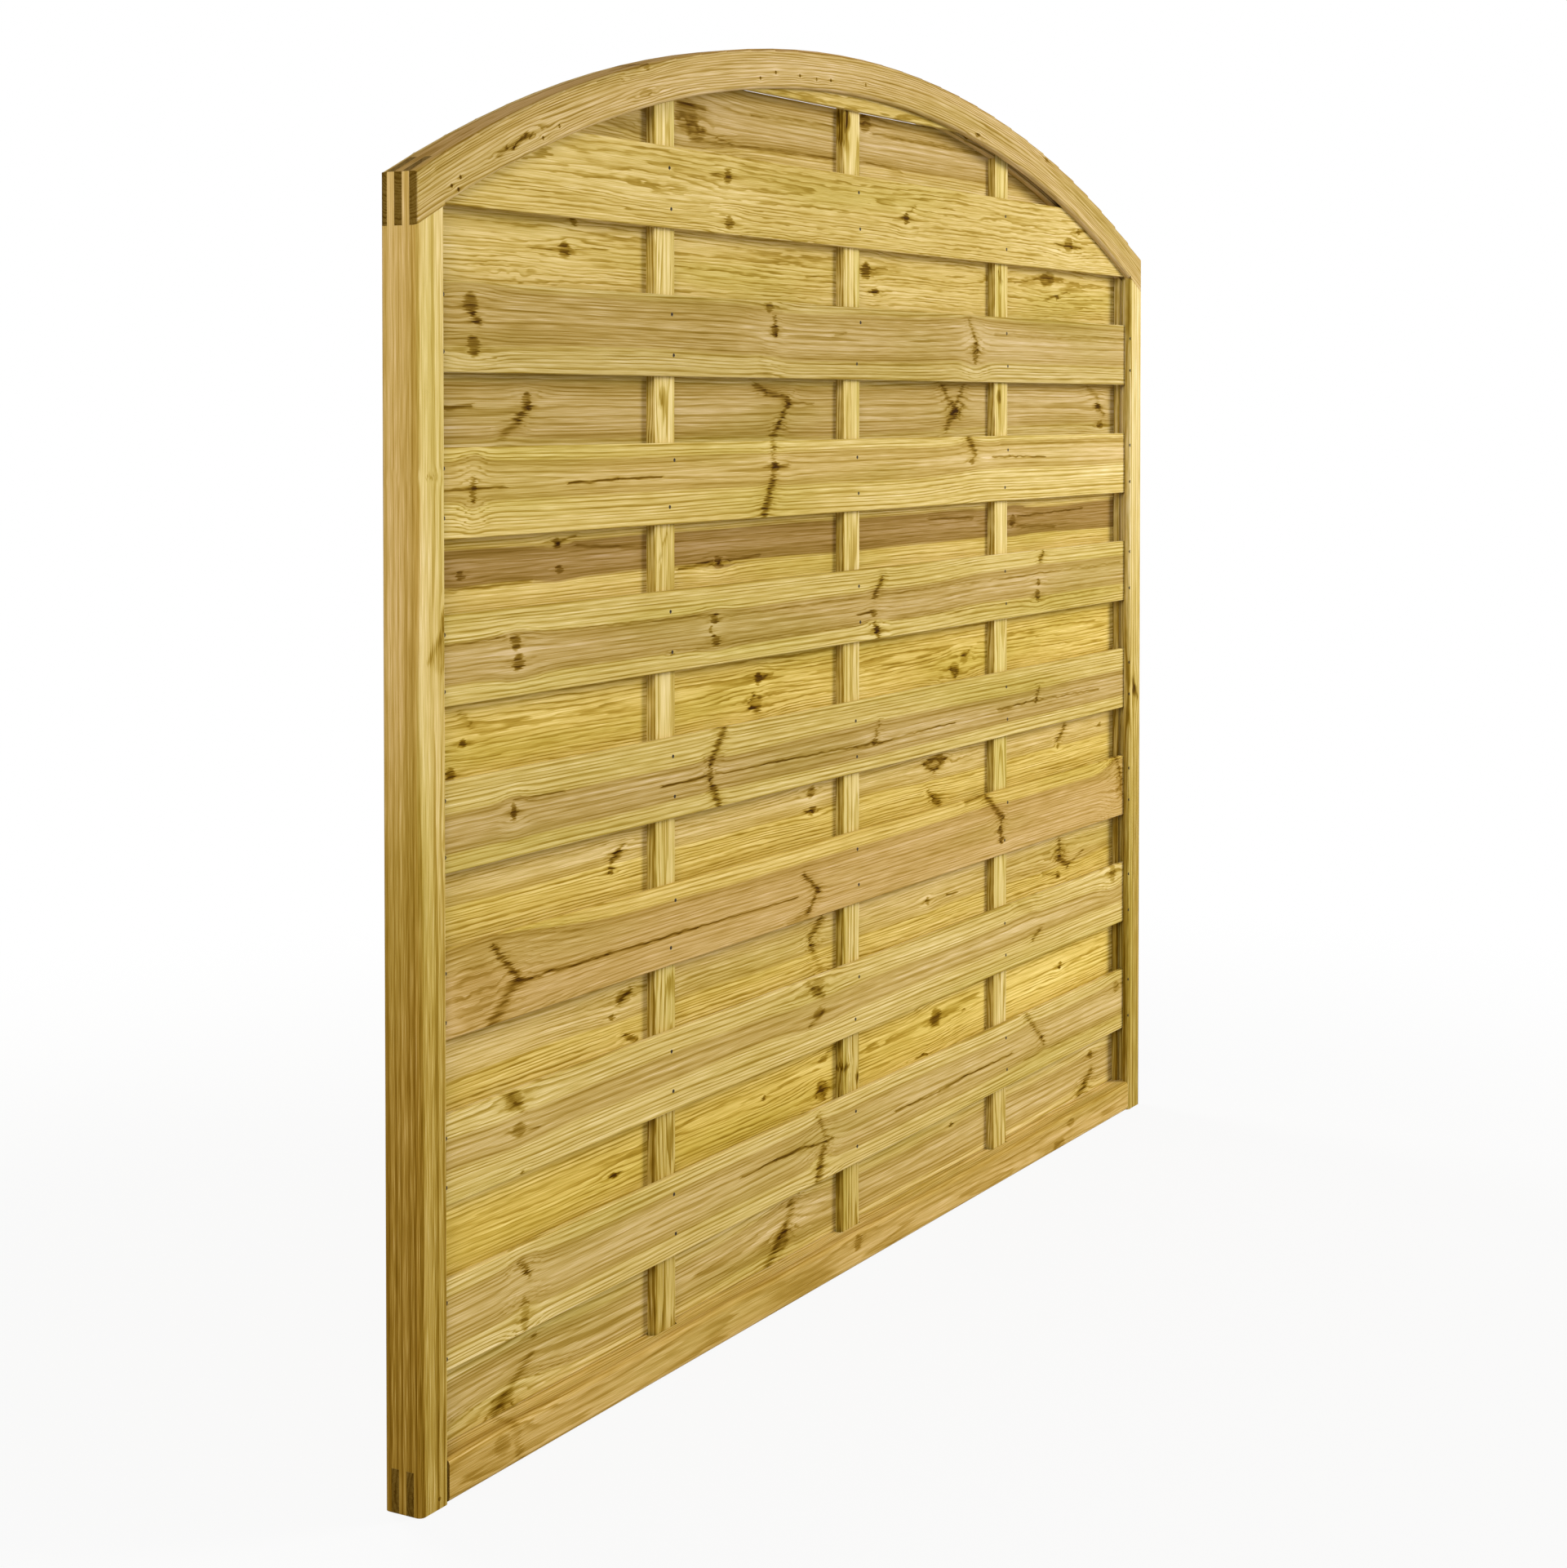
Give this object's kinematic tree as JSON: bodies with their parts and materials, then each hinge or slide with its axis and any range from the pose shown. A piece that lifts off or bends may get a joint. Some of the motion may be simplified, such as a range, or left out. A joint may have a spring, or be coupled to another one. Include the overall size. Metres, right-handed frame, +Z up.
{
  "type": "privacy fence panel",
  "caption": "Arch-topped hit-and-miss privacy fence panel in treated softwood: slats on alternate faces of upright battens, held in the twin grooves of a comb-jointed frame.",
  "frame": {"origin": "middle of the panel's foot: halfway between the posts and between the two faces, at the bottom of the frame", "axes": "+X along the width, from the left stile to the right as seen from the front; +Y towards the back, so the front faces -Y; +Z up"},
  "size_m": [1.8, 0.045, 1.5],
  "materials": {
    "frame_timber": "planed, pressure-treated softwood, matt",
    "batten_timber": "planed, pressure-treated softwood, matt",
    "slat_timber": "planed, pressure-treated softwood, matt",
    "brads": "dull small nail heads"
  },
  "bodies": {
    "root": {"left_stile": "frame_timber", "right_stile": "frame_timber", "arch_rail": "frame_timber", "bottom_rail": "frame_timber", "batten_1": "batten_timber", "batten_2": "batten_timber", "batten_3": "batten_timber", "back_slat_1": "slat_timber", "back_slat_2": "slat_timber", "back_slat_3": "slat_timber", "back_slat_4": "slat_timber", "back_slat_5": "slat_timber", "back_slat_6": "slat_timber", "back_slat_7": "slat_timber", "back_slat_8": "slat_timber", "back_slat_9": "slat_timber", "front_slat_1": "slat_timber", "front_slat_2": "slat_timber", "front_slat_3": "slat_timber", "front_slat_4": "slat_timber", "front_slat_5": "slat_timber", "front_slat_6": "slat_timber", "front_slat_7": "slat_timber", "front_slat_8": "slat_timber", "crown_slat": "slat_timber"}
  },
  "joints": []
}
